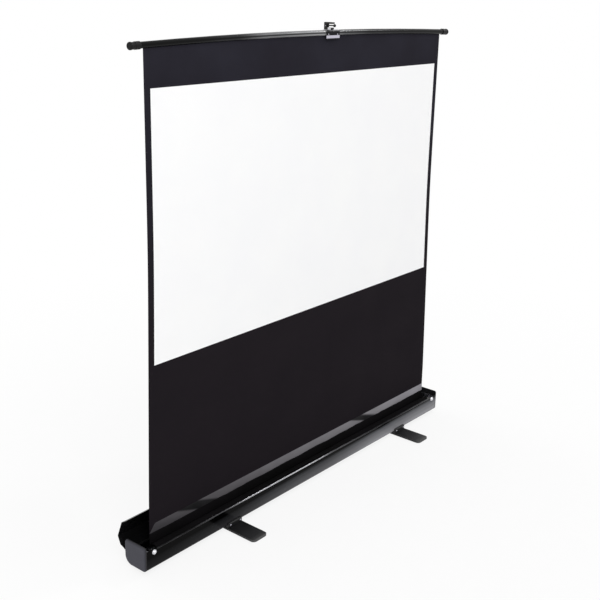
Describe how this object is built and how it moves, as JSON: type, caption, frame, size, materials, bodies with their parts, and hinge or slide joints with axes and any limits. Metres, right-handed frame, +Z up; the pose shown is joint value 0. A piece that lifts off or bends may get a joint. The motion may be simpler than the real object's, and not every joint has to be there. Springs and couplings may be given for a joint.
{
  "type": "floor-standing projection screen",
  "caption": "Floor-standing pull-up projection screen: black-bordered white sheet on a bowed top bar, hooked to a telescopic mast rising from a long lidded case on swivelling feet.",
  "frame": {"origin": "centre of the footprint, on the floor under the case", "axes": "+X to the right along the case seen from the viewers' side, +Y to the back, +Z up"},
  "size_m": [2.1, 0.43, 2.0898],
  "materials": {
    "black_anodised": "gloss black anodised extrusion",
    "black_paint": "satin black powder coat",
    "foot_black": "satin black anodised plate",
    "grey_anodised": "satin natural anodised",
    "bright_trim": "polished",
    "bright_steel": "plated",
    "black_plastic": "moulded, fine grain",
    "acetal": "natural white moulding",
    "pad_rubber": "matt",
    "black_cloth": "matt coated cloth",
    "white_face": "matt white coating",
    "leader_film": "gloss film"
  },
  "bodies": {
    "case": {"case_shell": "black_anodised", "front_bead": "bright_trim", "end_cap_left": "black_plastic", "end_cap_right": "black_plastic", "catch_bush_left": "bright_trim", "catch_bush_right": "bright_trim", "hinge_case_leaves": "black_paint", "hinge_pins": "bright_steel", "roller_bracket_left": "bright_steel", "roller_bracket_right": "bright_steel", "bracket_screws": "bright_steel", "spring_shaft": "bright_steel", "idler_bush": "acetal", "screen_fabric": "black_cloth", "viewing_surface": "white_face", "leader_strip": "leader_film", "mast_base": "grey_anodised", "mast_pivot_pin": "bright_steel", "mast_lower_tube": "grey_anodised", "mast_collar": "black_plastic", "collar_pin": "bright_steel", "saddle_left": "black_paint", "saddle_right": "black_paint", "saddle_screws_left": "bright_steel", "saddle_screws_right": "bright_steel", "foot_washer_left": "bright_steel", "foot_washer_right": "bright_steel", "foot_bolt_left": "bright_steel", "foot_bolt_right": "bright_steel"},
    "lid": {"lid_shell": "black_anodised", "lid_handle": "black_plastic", "hinge_lid_leaves": "black_paint"},
    "left_foot": {"foot_left": "foot_black", "foot_pads_left": "pad_rubber"},
    "right_foot": {"foot_right": "foot_black", "foot_pads_right": "pad_rubber"},
    "roller": {"roller_tube": "grey_anodised", "fabric_roll": "black_cloth", "roller_plug_left": "black_plastic", "roller_plug_right": "black_plastic", "torsion_spring": "bright_steel", "idler_pin": "bright_steel"},
    "screen_bar": {"top_bar": "black_anodised", "bar_end_cap_left": "black_plastic", "bar_end_cap_right": "black_plastic", "hanger_bracket": "bright_trim", "hanger_rivets": "bright_steel"},
    "mast_upper": {"mast_upper_tube": "grey_anodised", "mast_glide": "acetal", "mast_hook": "black_paint", "hook_lever_pin": "bright_steel"},
    "collar_lever": {"collar_lever": "black_plastic"},
    "hook_lever": {"hook_lever": "black_paint"},
    "catch_button_left": {"catch_button_left": "bright_trim"},
    "catch_button_right": {"catch_button_right": "bright_trim"}
  },
  "joints": [
    {"name": "lid_hinge", "type": "hinge", "parent": "case", "child": "lid", "pos_m": [0, 0.0645, 0.059], "axis": [1, 0, 0], "range_deg": [0, 12]},
    {"name": "left_foot_swivel", "type": "hinge", "parent": "case", "child": "left_foot", "pos_m": [-0.5481, 0, 0.007], "axis": [0, 0, 1], "range_deg": [0, 90]},
    {"name": "right_foot_swivel", "type": "hinge", "parent": "case", "child": "right_foot", "pos_m": [0.6909, 0, 0.007], "axis": [0, 0, 1], "range_deg": [0, 90]},
    {"name": "mast_extend", "type": "slide", "parent": "case", "child": "mast_upper", "axis": [0, 0, 1], "range_m": [-0.87, 0]},
    {"name": "screen_lift", "type": "slide", "parent": "case", "child": "screen_bar", "axis": [0, 0, 1], "range_m": [-0.87, 0], "deforming": ["screen_fabric", "viewing_surface", "leader_strip"]},
    {"name": "roller_spin", "type": "hinge", "parent": "case", "child": "roller", "pos_m": [0, -0.02455, 0.07], "axis": [1, 0, 0], "range_deg": [-2060, 0]},
    {"name": "collar_lever_swing", "type": "hinge", "parent": "case", "child": "collar_lever", "pos_m": [0.0945, 0.0405, 1.07794], "axis": [1, 0, 0], "range_deg": [0, 110]},
    {"name": "hook_lever_press", "type": "hinge", "parent": "mast_upper", "child": "hook_lever", "pos_m": [0.0945, 0.023, 2.07459], "axis": [1, 0, 0], "range_deg": [0, 8], "stiffness_Nm_per_rad": 0.03, "springref_deg": -20.05},
    {"name": "left_catch_press", "type": "slide", "parent": "case", "child": "catch_button_left", "axis": [0, 1, 0], "range_m": [0, 0.003], "stiffness_N_per_m": 300, "springref_m": -0.002},
    {"name": "right_catch_press", "type": "slide", "parent": "case", "child": "catch_button_right", "axis": [0, 1, 0], "range_m": [0, 0.003], "stiffness_N_per_m": 300, "springref_m": -0.002}
  ],
  "couplings": [
    {"joint": "screen_lift", "follows": "mast_extend", "ratio": 1},
    {"joint": "roller_spin", "follows": "mast_extend", "rad_per_m": 41.237}
  ]
}
